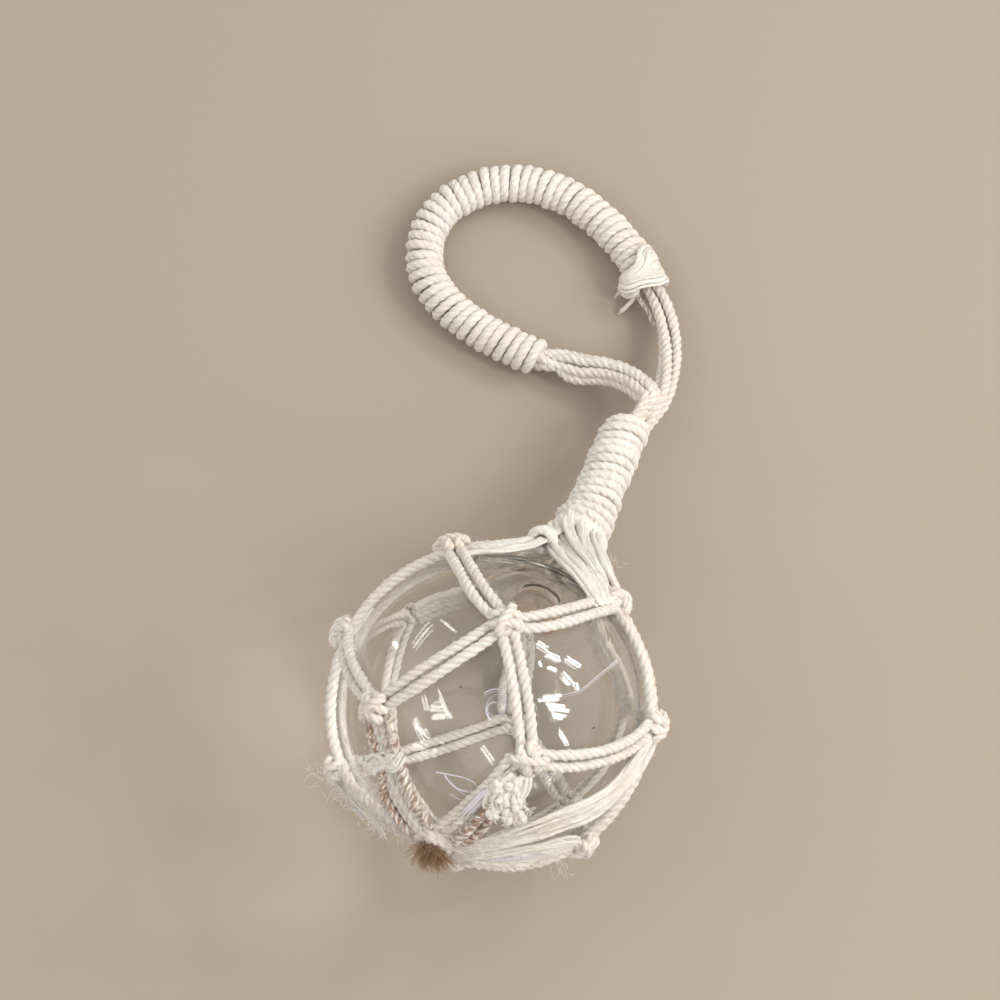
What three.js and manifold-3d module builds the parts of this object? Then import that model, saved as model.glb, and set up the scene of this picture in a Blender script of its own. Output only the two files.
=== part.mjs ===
// Glass float ball in a knotted cord net, with a bound neck and a hanging loop.
// Millimetres, +Z up. The float lies on its side on a surface at z = 0, and its neck points along +Y.
import * as THREE from 'three';
import { mergeVertices } from 'three/addons/utils/BufferGeometryUtils.js';
import Module from 'manifold-3d';

const wasm = await Module();
wasm.setup();

// Glass
const GLASS_DIAMETER = 100;
const SEAL_DIAMETER = 15;
const SEAL_HEIGHT = 1.2;
const BALL_BANDS = 15;
const BALL_SIDES = 26;

// Cord and the clearance kept between neighbouring pieces
const CORD_DIAMETER = 3.6;
const CLEARANCE = 0.3;
// Cords side by side press together to this share of their diameter, and this is how much of their
// radius is left in the valley between two of them
const CORD_SPACING_SHARE = 0.96;
const VALLEY_SHARE = 0.55;
// How far the cords under the float are pressed flat by its weight
const RESTING_FLAT_DEPTH = 1.7;

// Net: its axis runs from the bottom gather up to the neck, and dips towards the surface
const NET_DROOP = THREE.MathUtils.degToRad(17.6);
const KNOT_WIDTH = 11.6;
const KNOT_LENGTH = 10;
const KNOT_THICKNESS = 7;
const KNOT_TWIST = THREE.MathUtils.degToRad(28);
const BOTTOM_KNOT_DIAMETER = 15;
const BOTTOM_KNOT_THICKNESS = 6.4;
// Four cords side by side close up to these shares of their width at the knots and at the bottom
const KNOT_END_WIDTH = 0.86;
const BOTTOM_END_WIDTH = 0.66;
const BOTTOM_END_HEIGHT = 1.06;
const TUFT_LENGTH = 8;
const TUFT_DIAMETER = 14;

// Neck: gathered cords bound by a cord wound round and round
const NECK_STANDOFF = 26.7;
const NECK_SIDE_OFFSET = 4.2;
const NECK_LENGTH = 49;
const NECK_BASE_DIAMETER = 18.4;
const NECK_TOP_DIAMETER = 15.8;
const NECK_TURNS = 13;
const NECK_DROOP = THREE.MathUtils.degToRad(13);
const NECK_GROOVE_SHARE = 0.2;
// The cords to the neck leave the glass at this angle from the net's axis. They reach the neck on
// one circle, the first of them at this angle from the top, and run straight into it for a stretch
// that starts slightly wider than the circle.
const NECK_CORDS_LEAVE = 33;
const NECK_CORDS_FIRST = -38;
const NECK_CORDS_RUN_IN = 5;
const NECK_CORDS_FLARE = 0.4;
const NECK_CORDS_INSET = 0.4;
// Narrow and tall: what four cords side by side become where they close up under the binding
const NECK_CORDS_WIDTH = 0.39;
const NECK_CORDS_HEIGHT = 1.35;

// Hanging loop: a bundle of cords, most of it bound
const LOOP_BUNDLE_DIAMETER = 8;
const LOOP_BINDING_DIAMETER = 13.5;
const LOOP_TIE_DIAMETER = 7;
const TIE_RISE = THREE.MathUtils.degToRad(35);

// Directions of the net's knots seen from the ball's centre: degrees from the neck end of the
// net's axis, and degrees round it from the top.
const UPPER_KNOTS = [[52, -44], [50, 41], [57, 105], [60, 175], [55, -106]];
const MIDDLE_KNOTS = [[92, -1], [82, 77], [91, 141], [98, -146], [89, -79]];
const LOWER_KNOTS = [[128, -46], [130, 30], [125, 102], [128, 177], [130, -109]];
// The cords under the float are slack and stay on the glass almost up to its seal
const SLACK_NECK_CORDS = 4;
const SLACK_ROUTE = [[48, -180], [38, -177], [29, -171], [21, -163]];
const SLACK_LIFT = 1.3;

// Route of the loop, chosen by eye: sideways and forward from the neck's end, and how far the
// cord has come down from the neck's end (0) to the surface (1).
const LEFT_STRETCH = [
  [-3.4, 4.5, 0.08], [-2, 10.5, 0.26], [-5, 15.8, 0.42], [-12.1, 17.2, 0.57], [-21.6, 16.2, 0.75],
];
const RIGHT_STRETCH = [
  [5.2, 4.5, 0.05], [6.9, 10.5, 0.1], [7.6, 18.5, 0.18], [6, 29, 0.42], [1.2, 39.7, 0.72], [-6.4, 49.6, 0.91],
];
const BOUND_STRETCH = [
  [-36.7, 15.6, 1], [-52.9, 16.4, 1], [-69.9, 20.1, 1], [-84.4, 28.1, 1], [-91.4, 39.1, 1],
  [-92.1, 53.9, 1], [-83.6, 67.7, 1], [-69.5, 76.1, 1], [-52.3, 77.5, 1], [-36.8, 72.9, 1],
  [-22.9, 65.2, 1], [-16, 59.6, 1],
];

const GLASS_RADIUS = GLASS_DIAMETER / 2;
const CORD_RADIUS = CORD_DIAMETER / 2;
// Cords and knots lie on the glass
const CORD_ORBIT = GLASS_RADIUS + CLEARANCE + CORD_RADIUS;
const BALL_CENTRE = new THREE.Vector3(0, 0, CORD_ORBIT + CORD_RADIUS - RESTING_FLAT_DEPTH);

const glassMaterial = () => new THREE.MeshStandardMaterial({
  color: 0xe3ebe7, roughness: 0.03, metalness: 0, transparent: true, opacity: 0.35,
});
const cottonMaterial = () => new THREE.MeshStandardMaterial({
  color: 0xeadfcb, roughness: 0.92, metalness: 0,
});
const frayedMaterial = () => new THREE.MeshStandardMaterial({
  color: 0x8f6a49, roughness: 0.95, metalness: 0,
});

// The net's own axes: along it, up from it and sideways
const axis = new THREE.Vector3(0, Math.cos(NET_DROOP), -Math.sin(NET_DROOP));
const upward = new THREE.Vector3(0, Math.sin(NET_DROOP), Math.cos(NET_DROOP));
const sideways = new THREE.Vector3(1, 0, 0);

const direction = ([fromAxis, round]) => {
  const a = THREE.MathUtils.degToRad(fromAxis);
  const b = THREE.MathUtils.degToRad(round);
  return axis.clone().multiplyScalar(Math.cos(a))
    .addScaledVector(upward, Math.sin(a) * Math.cos(b))
    .addScaledVector(sideways, Math.sin(a) * Math.sin(b));
};

// A curve through chosen points whose cross-section keeps one side turned away from a centre.
// widths and heights give the section's size at the start and the end.
class FacingCurve extends THREE.CatmullRomCurve3 {
  constructor(points, outward, widths = [1, 1], heights = [1, 1]) {
    super(points, false, 'centripetal');
    this.outward = outward;
    this.widths = widths;
    this.heights = heights;
  }

  computeFrenetFrames(segments) {
    const tangents = [];
    const normals = [];
    const binormals = [];
    for (let i = 0; i <= segments; i += 1) {
      const t = i / segments;
      const tangent = this.getTangentAt(t);
      const up = this.outward(this.getPointAt(t), t);
      up.addScaledVector(tangent, -up.dot(tangent)).normalize();
      const across = new THREE.Vector3().crossVectors(up, tangent);
      tangents.push(tangent);
      normals.push(across.multiplyScalar(THREE.MathUtils.lerp(...this.widths, t)));
      binormals.push(up.multiplyScalar(THREE.MathUtils.lerp(...this.heights, t)));
    }
    return { tangents, normals, binormals };
  }
}

// Outline of round cords lying side by side and pressed together
const cordsSection = (count) => {
  const spacing = CORD_DIAMETER * CORD_SPACING_SHARE;
  const last = (count - 1) / 2;
  const endAngles = count > 2 ? [-72, 0, 72] : [-78, -26, 26, 78];
  const lower = [];
  for (let i = 0; i < count; i += 1) {
    const x = (i - last) * spacing;
    if (i > 0 && i < count - 1) {
      lower.push([x, -CORD_RADIUS]);
    }
    if (i < count - 1) {
      lower.push([x + spacing / 2, -CORD_RADIUS * VALLEY_SHARE]);
    }
  }
  const points = [...lower];
  for (const degrees of endAngles) {
    const a = THREE.MathUtils.degToRad(degrees);
    points.push([last * spacing + CORD_RADIUS * Math.cos(a), CORD_RADIUS * Math.sin(a)]);
  }
  for (const [x, y] of [...lower].reverse()) {
    points.push([x, -y]);
  }
  for (const degrees of endAngles) {
    const a = THREE.MathUtils.degToRad(180 + degrees);
    points.push([-last * spacing + CORD_RADIUS * Math.cos(a), CORD_RADIUS * Math.sin(a)]);
  }
  return new THREE.Shape(points.map(([x, y]) => new THREE.Vector2(x, y)));
};

const roundSection = (diameter, sides) => {
  const points = [];
  for (let i = 0; i < sides; i += 1) {
    const a = ((i + 0.5) / sides) * 2 * Math.PI;
    points.push(new THREE.Vector2(Math.cos(a) * diameter / 2, Math.sin(a) * diameter / 2));
  }
  return new THREE.Shape(points);
};

const sweep = (section, curve, steps) => new THREE.ExtrudeGeometry(section, {
  steps, bevelEnabled: false, extrudePath: curve,
});

const toManifold = (geometry) => {
  const bare = geometry.clone();
  bare.deleteAttribute('normal');
  bare.deleteAttribute('uv');
  const merged = mergeVertices(bare, 1e-4);
  return new wasm.Manifold(new wasm.Mesh({
    numProp: 3,
    vertProperties: new Float32Array(merged.attributes.position.array),
    triVerts: new Uint32Array(merged.index.array),
  }));
};

const fromManifold = (solid) => {
  const mesh = solid.getMesh();
  const geometry = new THREE.BufferGeometry();
  geometry.setAttribute('position', new THREE.BufferAttribute(mesh.vertProperties, 3));
  geometry.setIndex(new THREE.BufferAttribute(mesh.triVerts, 1));
  geometry.computeVertexNormals();
  return geometry;
};

// What the float's weight presses flat against the surface is cut off level at z = 0, by a box
// that is this much larger than the piece
const CUTTER_MARGIN = 20;
const pressFlat = (geometry) => {
  geometry.computeBoundingBox();
  if (geometry.boundingBox.min.z >= 0) {
    return geometry;
  }
  const size = geometry.boundingBox.getSize(new THREE.Vector3()).addScalar(CUTTER_MARGIN);
  const middle = geometry.boundingBox.getCenter(new THREE.Vector3());
  const above = new THREE.BoxGeometry(size.x, size.y, size.z);
  above.translate(middle.x, middle.y, size.z / 2);
  return fromManifold(toManifold(geometry).intersect(toManifold(above)));
};

const group = new THREE.Group();
const objectPieces = [];
const addPiece = (name, geometry, material, onLoop = false) => {
  const mesh = new THREE.Mesh(geometry, material);
  mesh.name = name;
  group.add(mesh);
  if (!onLoop) {
    objectPieces.push(mesh);
  }
  return mesh;
};

// Turns a shape made along +Y so that +Y points along one direction and +Z towards another
const aim = (geometry, along, outward, origin) => {
  const y = along.clone().normalize();
  const z = outward.clone().addScaledVector(y, -outward.dot(y)).normalize();
  const x = new THREE.Vector3().crossVectors(y, z);
  geometry.applyMatrix4(new THREE.Matrix4().makeBasis(x, y, z).setPosition(origin));
  return geometry;
};

// Glass ball with the round seal where its blowing hole was closed, at the neck end
const ballProfile = [];
const sealAngle = Math.asin(SEAL_DIAMETER / 2 / GLASS_RADIUS);
for (let i = 0; i <= BALL_BANDS; i += 1) {
  const a = Math.PI - (i / BALL_BANDS) * (Math.PI - sealAngle);
  const r = i === 0 ? 0 : GLASS_RADIUS * Math.sin(a);
  ballProfile.push(new THREE.Vector2(r, GLASS_RADIUS * Math.cos(a)));
}
const sealBase = ballProfile[ballProfile.length - 1];
ballProfile.push(new THREE.Vector2(sealBase.x * 0.86, GLASS_RADIUS + SEAL_HEIGHT * 0.6));
ballProfile.push(new THREE.Vector2(sealBase.x * 0.5, GLASS_RADIUS + SEAL_HEIGHT));
ballProfile.push(new THREE.Vector2(0, GLASS_RADIUS + SEAL_HEIGHT * 0.9));
const ball = new THREE.LatheGeometry(ballProfile, BALL_SIDES);
addPiece('glass_ball', aim(ball, axis, upward, BALL_CENTRE), glassMaterial());

// Knots: a bound lump of three turns, thinner across the glass than along it
const knotProfile = [
  [0, -0.5], [0.6, -0.5], [0.9, -0.36], [0.76, -0.18], [1, 0],
  [0.76, 0.18], [0.9, 0.36], [0.6, 0.5], [0, 0.5],
];
const addKnot = (name, place, twist) => {
  const outward = direction(place);
  const profile = knotProfile.map(([r, y]) => new THREE.Vector2(r * KNOT_WIDTH / 2, y * KNOT_LENGTH));
  const lump = new THREE.LatheGeometry(profile, 9);
  lump.scale(1, 1, KNOT_THICKNESS / KNOT_WIDTH);
  lump.rotateZ(twist);
  const along = axis.clone().addScaledVector(outward, -axis.dot(outward));
  const origin = BALL_CENTRE.clone()
    .addScaledVector(outward, GLASS_RADIUS + CLEARANCE + KNOT_THICKNESS / 2);
  addPiece(name, pressFlat(aim(lump, along, outward, origin)), cottonMaterial());
};
const ringNames = ['upper', 'middle', 'lower'];
[UPPER_KNOTS, MIDDLE_KNOTS, LOWER_KNOTS].forEach((ring, r) => {
  ring.forEach((place, i) => addKnot(`${ringNames[r]}_knot_${i + 1}`, place, (r % 2 ? -1 : 1) * KNOT_TWIST));
});

// Points along the glass from one direction to another, stopping short of both knots
const alongGlass = (from, to, startGap, endGap, count = 7) => {
  const angle = from.angleTo(to);
  const points = [];
  for (let i = 0; i < count; i += 1) {
    const a = THREE.MathUtils.lerp(startGap / CORD_ORBIT, angle - endGap / CORD_ORBIT, i / (count - 1));
    const point = from.clone().multiplyScalar(Math.sin(angle - a))
      .addScaledVector(to, Math.sin(a))
      .multiplyScalar(CORD_ORBIT / Math.sin(angle));
    points.push(point.add(BALL_CENTRE));
  }
  return points;
};
const fromBall = (point) => point.clone().sub(BALL_CENTRE).normalize();
const knotReach = KNOT_WIDTH / 2 + CLEARANCE;

// Pairs of cords from each knot of one ring to its two neighbours in the next ring
const addPair = (name, from, to) => {
  const curve = new FacingCurve(alongGlass(direction(from), direction(to), knotReach, knotReach), fromBall);
  addPiece(name, pressFlat(sweep(cordsSection(2), curve, 6)), cottonMaterial());
};
for (let i = 0; i < UPPER_KNOTS.length; i += 1) {
  const before = (i + UPPER_KNOTS.length - 1) % UPPER_KNOTS.length;
  const after = (i + 1) % UPPER_KNOTS.length;
  addPair(`upper_cords_${i + 1}_a`, UPPER_KNOTS[i], MIDDLE_KNOTS[before]);
  addPair(`upper_cords_${i + 1}_b`, UPPER_KNOTS[i], MIDDLE_KNOTS[i]);
  addPair(`lower_cords_${i + 1}_a`, MIDDLE_KNOTS[i], LOWER_KNOTS[i]);
  addPair(`lower_cords_${i + 1}_b`, MIDDLE_KNOTS[i], LOWER_KNOTS[after]);
}

// Four cords from each lower knot to the gather at the bottom of the net
const bottom = axis.clone().negate();
const bottomReach = BOTTOM_KNOT_DIAMETER / 2 + CLEARANCE;
LOWER_KNOTS.forEach((place, i) => {
  const points = alongGlass(direction(place), bottom, knotReach, bottomReach);
  const curve = new FacingCurve(points, fromBall, [KNOT_END_WIDTH, BOTTOM_END_WIDTH], [1, BOTTOM_END_HEIGHT]);
  addPiece(`bottom_cords_${i + 1}`, pressFlat(sweep(cordsSection(4), curve, 6)), cottonMaterial());
});
const gather = new THREE.SphereGeometry(1, 10, 8);
gather.scale(BOTTOM_KNOT_DIAMETER / 2, BOTTOM_KNOT_THICKNESS / 2, BOTTOM_KNOT_DIAMETER / 2);
const gatherOrbit = GLASS_RADIUS + CLEARANCE + BOTTOM_KNOT_THICKNESS / 2;
addPiece('bottom_knot', aim(gather, bottom, upward,
  BALL_CENTRE.clone().addScaledVector(bottom, gatherOrbit)), cottonMaterial());
const tuftProfile = [[0, 0], [0.34, 0], [0.75, 0.5], [1, 0.95], [0.5, 1], [0, 0.9]]
  .map(([r, y]) => new THREE.Vector2(r * TUFT_DIAMETER / 2, y * TUFT_LENGTH));
addPiece('frayed_tuft', aim(new THREE.LatheGeometry(tuftProfile, 10), bottom, upward,
  BALL_CENTRE.clone().addScaledVector(bottom, gatherOrbit + BOTTOM_KNOT_THICKNESS / 2 + CLEARANCE)),
frayedMaterial());

// Neck: the turns of the binding show as ridges, and it narrows towards the loop
const neckAxis = new THREE.Vector3(0, Math.cos(NECK_DROOP), -Math.sin(NECK_DROOP));
const neckUp = new THREE.Vector3(0, Math.sin(NECK_DROOP), Math.cos(NECK_DROOP));
const neckBase = BALL_CENTRE.clone()
  .addScaledVector(axis, GLASS_RADIUS + NECK_STANDOFF)
  .addScaledVector(sideways, NECK_SIDE_OFFSET);
const neckTop = neckBase.clone().addScaledVector(neckAxis, NECK_LENGTH);
const neckProfile = [new THREE.Vector2(0, 0)];
for (let i = 0; i <= NECK_TURNS * 2; i += 1) {
  const t = i / (NECK_TURNS * 2);
  const crest = THREE.MathUtils.lerp(NECK_BASE_DIAMETER, NECK_TOP_DIAMETER, t) / 2;
  neckProfile.push(new THREE.Vector2(i % 2 ? crest : crest - CORD_DIAMETER * NECK_GROOVE_SHARE, t * NECK_LENGTH));
}
neckProfile.push(new THREE.Vector2(0, NECK_LENGTH));
addPiece('neck_binding', aim(new THREE.LatheGeometry(neckProfile, 14), neckAxis, neckUp, neckBase),
  cottonMaterial());

// Four cords from each upper knot leave the glass and close up under the binding
const neckCordOrbit = NECK_BASE_DIAMETER / 2 - CORD_RADIUS * NECK_CORDS_HEIGHT - NECK_CORDS_INSET;
UPPER_KNOTS.forEach((place, i) => {
  const turn = THREE.MathUtils.degToRad(NECK_CORDS_FIRST + (360 / UPPER_KNOTS.length) * i);
  const spoke = neckUp.clone().multiplyScalar(Math.cos(turn)).addScaledVector(sideways, Math.sin(turn));
  const end = neckBase.clone().addScaledVector(spoke, neckCordOrbit).addScaledVector(neckAxis, -CLEARANCE);
  const before = end.clone().addScaledVector(neckAxis, -NECK_CORDS_RUN_IN)
    .addScaledVector(spoke, NECK_CORDS_FLARE);
  const stations = i + 1 === SLACK_NECK_CORDS ? SLACK_ROUTE : [[NECK_CORDS_LEAVE, place[1]]];
  const first = direction(stations[0]);
  const onGlass = alongGlass(direction(place), first, knotReach, 0, stations.length > 1 ? 2 : 3);
  stations.slice(1).forEach((station) => {
    onGlass.push(direction(station).multiplyScalar(CORD_ORBIT + SLACK_LIFT).add(BALL_CENTRE));
  });
  const curve = new FacingCurve([...onGlass, before, end], (point, t) => {
    const offNeck = point.clone().sub(neckBase);
    offNeck.addScaledVector(neckAxis, -offNeck.dot(neckAxis)).normalize();
    return fromBall(point).multiplyScalar(1 - t).addScaledVector(offNeck, t);
  }, [KNOT_END_WIDTH, NECK_CORDS_WIDTH], [1, NECK_CORDS_HEIGHT]);
  const steps = stations.length > 1 ? 11 : 7;
  addPiece(`neck_cords_${i + 1}`, pressFlat(sweep(cordsSection(4), curve, steps)), cottonMaterial());
});

// Loop: two open stretches come out of the neck, and the bound stretch lies on the surface
const loopRest = LOOP_BINDING_DIAMETER / 2;
const onRoute = ([right, forward, down]) => new THREE.Vector3(
  neckTop.x + right,
  neckTop.y + forward,
  THREE.MathUtils.lerp(neckTop.z, loopRest, down),
);
const bound = BOUND_STRETCH.map(onRoute);
const boundCurve = new FacingCurve(bound, () => new THREE.Vector3(0, 0, 1));
addPiece('loop_binding', sweep(roundSection(LOOP_BINDING_DIAMETER, 8), boundCurve, 32),
  cottonMaterial(), true);

// Each open stretch starts at the neck's end face and stops at an end face of the binding
const addStretch = (name, side, route, meeting, towards) => {
  const start = neckTop.clone()
    .addScaledVector(sideways, side * (LOOP_BUNDLE_DIAMETER / 2 + CLEARANCE / 2))
    .addScaledVector(neckAxis, CLEARANCE);
  const stop = meeting.clone().addScaledVector(towards, CLEARANCE);
  const before = meeting.clone().addScaledVector(towards, LOOP_BUNDLE_DIAMETER * 0.5);
  const points = [start, start.clone().addScaledVector(neckAxis, 2), ...route.map(onRoute), before, stop];
  const curve = new FacingCurve(points, () => new THREE.Vector3(0, 0, 1));
  addPiece(name, sweep(roundSection(LOOP_BUNDLE_DIAMETER, 8), curve, 12), cottonMaterial(), true);
};
addStretch('loop_cords_left', -1, LEFT_STRETCH, bound[0], boundCurve.getTangentAt(0).negate());
addStretch('loop_cords_right', 1, RIGHT_STRETCH, bound[bound.length - 1], boundCurve.getTangentAt(1));

// Knot that ties off the loop's binding, on the inner side just past its end
const boundEnd = boundCurve.getTangentAt(1);
const tiePlace = bound[bound.length - 1].clone()
  .addScaledVector(boundEnd, LOOP_TIE_DIAMETER / 2 + CLEARANCE);
const tieSide = new THREE.Vector3(0, 0, 1).cross(boundEnd).negate()
  .multiplyScalar(Math.cos(TIE_RISE)).add(new THREE.Vector3(0, 0, Math.sin(TIE_RISE)));
const tie = new THREE.SphereGeometry(LOOP_TIE_DIAMETER / 2, 9, 6);
const tieStandoff = (LOOP_BUNDLE_DIAMETER + LOOP_TIE_DIAMETER) / 2 + CLEARANCE;
const tieCentre = tiePlace.addScaledVector(tieSide, tieStandoff);
tie.translate(tieCentre.x, tieCentre.y, tieCentre.z);
addPiece('loop_tie_knot', tie, cottonMaterial(), true);

// The origin is under the middle of the float and its neck, on the surface
group.updateMatrixWorld(true);
const box = new THREE.Box3();
objectPieces.forEach((mesh) => box.expandByObject(mesh, true));
group.position.set(-(box.min.x + box.max.x) / 2, -(box.min.y + box.max.y) / 2, -box.min.z);
group.updateMatrixWorld(true);

export default group;
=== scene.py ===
import math
import bpy
import mathutils
import numpy as np
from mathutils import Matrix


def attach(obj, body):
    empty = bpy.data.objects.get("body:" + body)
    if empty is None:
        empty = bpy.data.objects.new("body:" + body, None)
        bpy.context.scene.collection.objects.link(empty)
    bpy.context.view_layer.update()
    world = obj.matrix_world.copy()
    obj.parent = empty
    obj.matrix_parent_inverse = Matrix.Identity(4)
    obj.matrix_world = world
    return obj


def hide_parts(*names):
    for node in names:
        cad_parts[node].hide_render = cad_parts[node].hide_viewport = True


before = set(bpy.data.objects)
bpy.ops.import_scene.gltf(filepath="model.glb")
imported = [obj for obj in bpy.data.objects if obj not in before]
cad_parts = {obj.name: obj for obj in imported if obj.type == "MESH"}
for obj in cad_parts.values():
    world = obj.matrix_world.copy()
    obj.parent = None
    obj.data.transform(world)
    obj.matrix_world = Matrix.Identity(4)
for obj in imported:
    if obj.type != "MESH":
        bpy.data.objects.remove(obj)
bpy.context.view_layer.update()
rng = np.random.default_rng(7)
TURN = 2 * math.pi

# Millimetres from the point under the ball's centre. SHIFT leads from there to the part's frame.
SHIFT = np.array([0.398, -29.388, 0.0])
METRES = 0.001
GLASS_R = 50.0
CORD = 3.6
CORD_R = CORD / 2
CLEAR = 0.3
ORBIT = GLASS_R + CLEAR + CORD_R
PRESSED_FLAT = 1.7
CENTRE = np.array([0, 0, ORBIT + CORD_R - PRESSED_FLAT])

# The net's axis runs from the bottom gather to the neck and dips towards the floor
DROOP = math.radians(17.6)
AXIS = np.array([0, math.cos(DROOP), -math.sin(DROOP)])
UP = np.array([0, math.sin(DROOP), math.cos(DROOP)])
SIDE = np.array([1.0, 0, 0])
BOTTOM = -AXIS

# Knots from the ball's centre: degrees from the axis's neck end, and degrees round it from the top
UPPER = [(52, -44), (50, 41), (57, 105), (60, 175), (55, -106)]
MIDDLE = [(92, -1), (82, 77), (91, 141), (98, -146), (89, -79)]
LOWER = [(128, -46), (130, 30), (125, 102), (128, 177), (130, -109)]
RING = len(UPPER)
KNOT_LENGTH = 10
KNOT_WIDTH = 11.6
KNOT_THICKNESS = 7
KNOT_TWIST = 28

# The cords under the ball are slack and stay on the glass almost up to its seal
SLACK = [(48, -180), (38, -177), (29, -171), (21, -163)]
SLACK_BAND = 3
SLACK_LIFT = 1.3

# Neck: the gathered cords stand off the glass and are bound round and round
NECK_DROOP = math.radians(13)
NECK_AXIS = np.array([0, math.cos(NECK_DROOP), -math.sin(NECK_DROOP)])
NECK_UP = np.array([0, math.sin(NECK_DROOP), math.cos(NECK_DROOP)])
NECK_STANDOFF = 26.7
NECK_SIDE_OFFSET = 4.2
NECK_BASE = CENTRE + AXIS * (GLASS_R + NECK_STANDOFF) + SIDE * NECK_SIDE_OFFSET
NECK_LENGTH = 49.0
NECK_TOP = NECK_BASE + NECK_AXIS * NECK_LENGTH
NECK_TURNS = 13
NECK_CORDS_LEAVE = 33
NECK_CORDS_FIRST = -38
NECK_CORDS_ORBIT = 9.2 - CORD_R * 1.35 - 0.4

# Loop: the bound stretch lies on the floor. Its places are sideways and forward from the neck's end.
LOOP_REST = 6.75
LOOP_CORD = 3.9
LOOP_PITCH = 3.55
BOUND = [(-36.7, 15.6), (-52.9, 16.4), (-69.9, 20.1), (-84.4, 28.1), (-91.4, 39.1), (-92.1, 53.9),
    (-83.6, 67.7), (-69.5, 76.1), (-52.3, 77.5), (-36.8, 72.9), (-22.9, 65.2), (-16, 59.6)]

# Camera at the photograph's viewing angle. Places called SEEN are columns and rows of its view.
AZIMUTH = math.radians(20.88)
ELEVATION = math.radians(71.0)
CAMERA = np.array([92.29, -234.73, 991.05])
FORWARD = np.array([-math.sin(AZIMUTH) * math.cos(ELEVATION), math.cos(AZIMUTH) * math.cos(ELEVATION),
    -math.sin(ELEVATION)])
RIGHT_WAY = np.array([math.cos(AZIMUTH), math.sin(AZIMUTH), 0])
UP_WAY = np.cross(RIGHT_WAY, FORWARD)
VIEW_SIZE = 1000
VIEW_MIDDLE = VIEW_SIZE / 2
FOCAL = 3000.0
SENSOR = 36


# Directions and paths
def unit(v):
    v = np.asarray(v, float)
    return v / np.linalg.norm(v, axis=-1, keepdims=True)


def along(way, amounts):
    """A direction, or one for each point, times each amount."""
    return way * amounts[:, None]


def direction(place):
    """The way from the ball's centre to a place given in degrees."""
    a, b = math.radians(place[0]), math.radians(place[1])
    return AXIS * math.cos(a) + (UP * math.cos(b) + SIDE * math.sin(b)) * math.sin(a)


def neck_spoke(degrees):
    """The way out from the neck's middle line, in degrees from the top."""
    turn = math.radians(degrees)
    return NECK_UP * math.cos(turn) + SIDE * math.sin(turn)


def arc_length(p):
    return np.concatenate([[0], np.cumsum(np.linalg.norm(np.diff(p, axis=0), axis=1))])


def even(q, step):
    s = arc_length(q)
    n = max(4, int(round(s[-1] / step)) + 1)
    k = np.linspace(0, s[-1], n)
    return np.stack([np.interp(k, s, q[:, j]) for j in range(3)], axis=1)


def smooth_path(points, step):
    """A smooth curve through points, resampled at even steps."""
    p = np.asarray(points, float)
    chord = np.linalg.norm(np.diff(p, axis=0), axis=1) ** 0.5
    t = np.concatenate([[0], np.cumsum(chord)])
    slope = np.zeros_like(p)
    slope[1:-1] = ((p[2:] - p[1:-1]) / (t[2:] - t[1:-1])[:, None]
            - (p[2:] - p[:-2]) / (t[2:] - t[:-2])[:, None]
            + (p[1:-1] - p[:-2]) / (t[1:-1] - t[:-2])[:, None])
    slope[0] = (p[1] - p[0]) / (t[1] - t[0]) * 1.5 - slope[1] * 0.5
    slope[-1] = (p[-1] - p[-2]) / (t[-1] - t[-2]) * 1.5 - slope[-2] * 0.5
    out = []
    for i in range(len(p) - 1):
        h = t[i + 1] - t[i]
        u = np.linspace(0, 1, 40, endpoint=i == len(p) - 2)[:, None]
        out.append((2 * u**3 - 3 * u**2 + 1) * p[i] + (u**3 - 2 * u**2 + u) * h * slope[i]
                + (-2 * u**3 + 3 * u**2) * p[i + 1] + (u**3 - u**2) * h * slope[i + 1])
    return even(np.concatenate(out), step)


def tangents(p):
    return unit(np.gradient(p, axis=0))


def carried_frame(p):
    """Two directions across the path that turn as little as they can."""
    t = tangents(p)
    a = np.zeros_like(p)
    a[0] = unit(np.cross(t[0], [0.31, 0.17, 0.93]))
    for i in range(1, len(p)):
        v = a[i - 1] - t[i] * np.dot(a[i - 1], t[i])
        a[i] = v / np.linalg.norm(v)
    return t, a, np.cross(t, a)


def arc(d0, d1, start, end, n=40):
    """Directions from one knot to another, stopping short of both."""
    angle = math.acos(np.clip(np.dot(d0, d1), -1, 1))
    a = np.linspace(start / ORBIT, angle - end / ORBIT, n)
    return (d0[None] * np.sin(angle - a)[:, None] + d1[None] * np.sin(a)[:, None]) / math.sin(angle)


def beside(dirs, across, lift):
    """Points on the glass beside a path of directions, moved sideways and outwards."""
    side = np.cross(dirs, tangents(dirs))
    reach = (ORBIT + lift)[:, None]
    return CENTRE + unit(dirs * reach + side * across[:, None]) * reach


# Places in the camera's view
def view_ray(x, y):
    return FORWARD + RIGHT_WAY * (x - VIEW_MIDDLE) / FOCAL - UP_WAY * (y - VIEW_MIDDLE) / FOCAL


def on_ball(x, y, radius):
    """The point of a sphere round the ball's centre at a place in the view."""
    d = unit(view_ray(x, y))
    o = CAMERA - CENTRE
    b = np.dot(o, d)
    root = b * b - (np.dot(o, o) - radius**2)
    return CAMERA + d * (-b - math.sqrt(max(root, 0)))


def at_height(x, y, z):
    """The point at a height above the floor at a place in the view."""
    d = view_ray(x, y)
    return CAMERA + d * (z - CAMERA[2]) / d[2]


def on_net(points, lift):
    return [on_ball(x, y, ORBIT + lift) for x, y in points]


def seen(points, lift=0.6):
    """A smooth path over the net through places in the view."""
    return smooth_path(on_net(points, lift), 0.8)


# Objects
def add_object(name, data):
    obj = bpy.data.objects.new(name, data)
    bpy.context.scene.collection.objects.link(obj)
    return obj


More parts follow.
